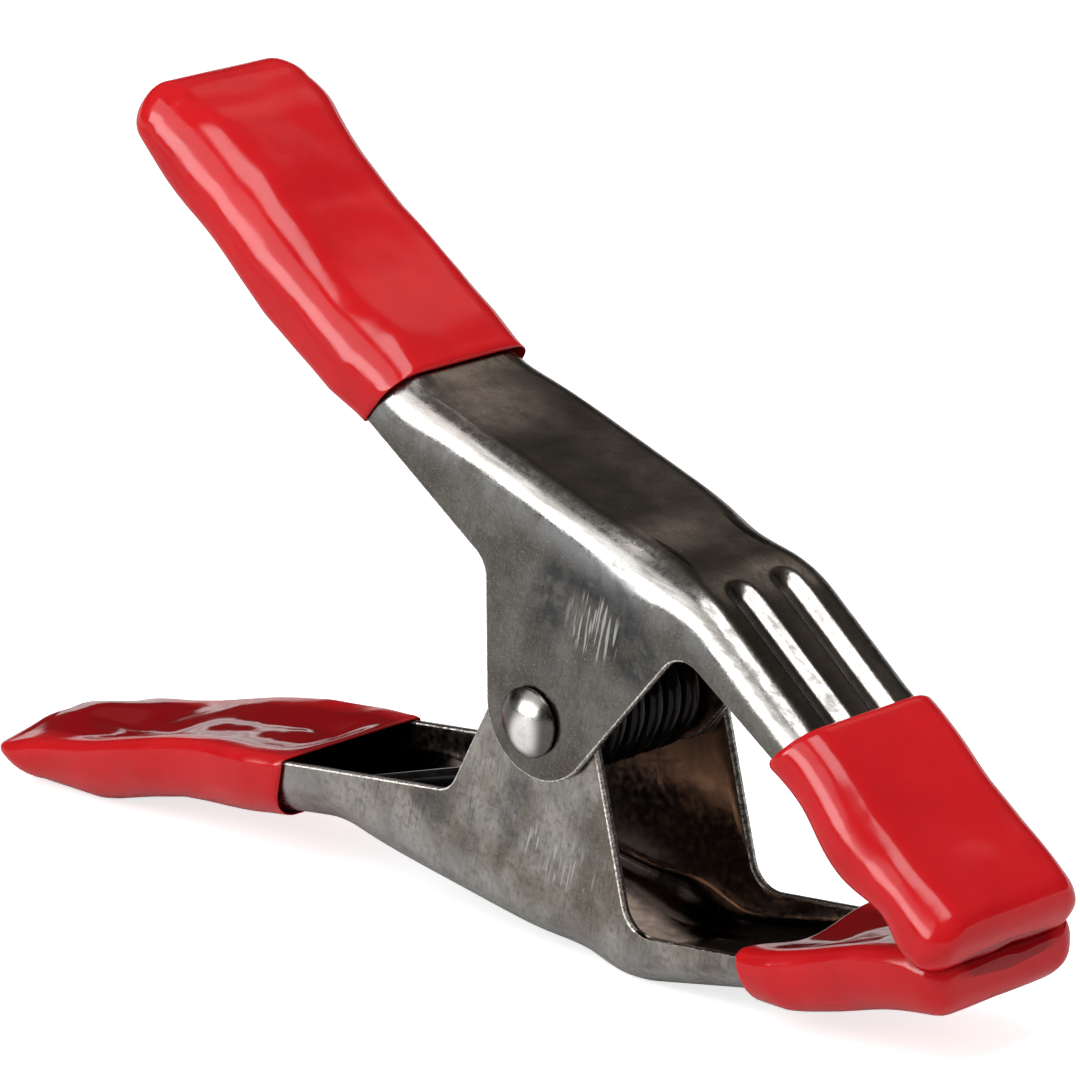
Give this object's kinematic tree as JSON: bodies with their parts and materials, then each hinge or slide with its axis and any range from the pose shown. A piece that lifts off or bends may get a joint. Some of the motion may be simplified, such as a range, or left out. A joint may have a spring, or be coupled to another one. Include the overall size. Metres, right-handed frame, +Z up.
{
  "type": "spring clamp",
  "caption": "Pressed-steel spring clamp: two channel arms turn on a rivet, held shut by a torsion spring, with dipped red vinyl handle grips and jaw tips.",
  "frame": {"origin": "centre of the bounding box on the bench that the clamp stands on", "axes": "+X towards the jaws, +Y across the clamp along the rivet, from its domed head to its clenched end, +Z up"},
  "size_m": [0.1746, 0.0314, 0.1025],
  "materials": {
    "plated_steel": "bright plated pressing with fine pits and scratches",
    "rivet_steel": "bright plated, domed head",
    "spring_steel": "glossy black oil-hardened wire",
    "red_vinyl": "glossy dipped vinyl with soft runs"
  },
  "bodies": {
    "lower_half": {"lower_arm": "plated_steel", "lower_handle_grip": "red_vinyl", "lower_jaw_tip": "red_vinyl", "pivot_rivet": "rivet_steel", "torsion_spring": "spring_steel"},
    "upper_half": {"upper_arm": "plated_steel", "upper_handle_grip": "red_vinyl", "upper_jaw_tip": "red_vinyl"}
  },
  "joints": [
    {"name": "jaw_pivot", "type": "hinge", "parent": "lower_half", "child": "upper_half", "pos_m": [0.01735, 0, 0.03203], "axis": [0, -1, 0], "range_deg": [0, 41], "stiffness_Nm_per_rad": 2.2, "springref_deg": -57.3, "deforming": ["torsion_spring"]}
  ]
}
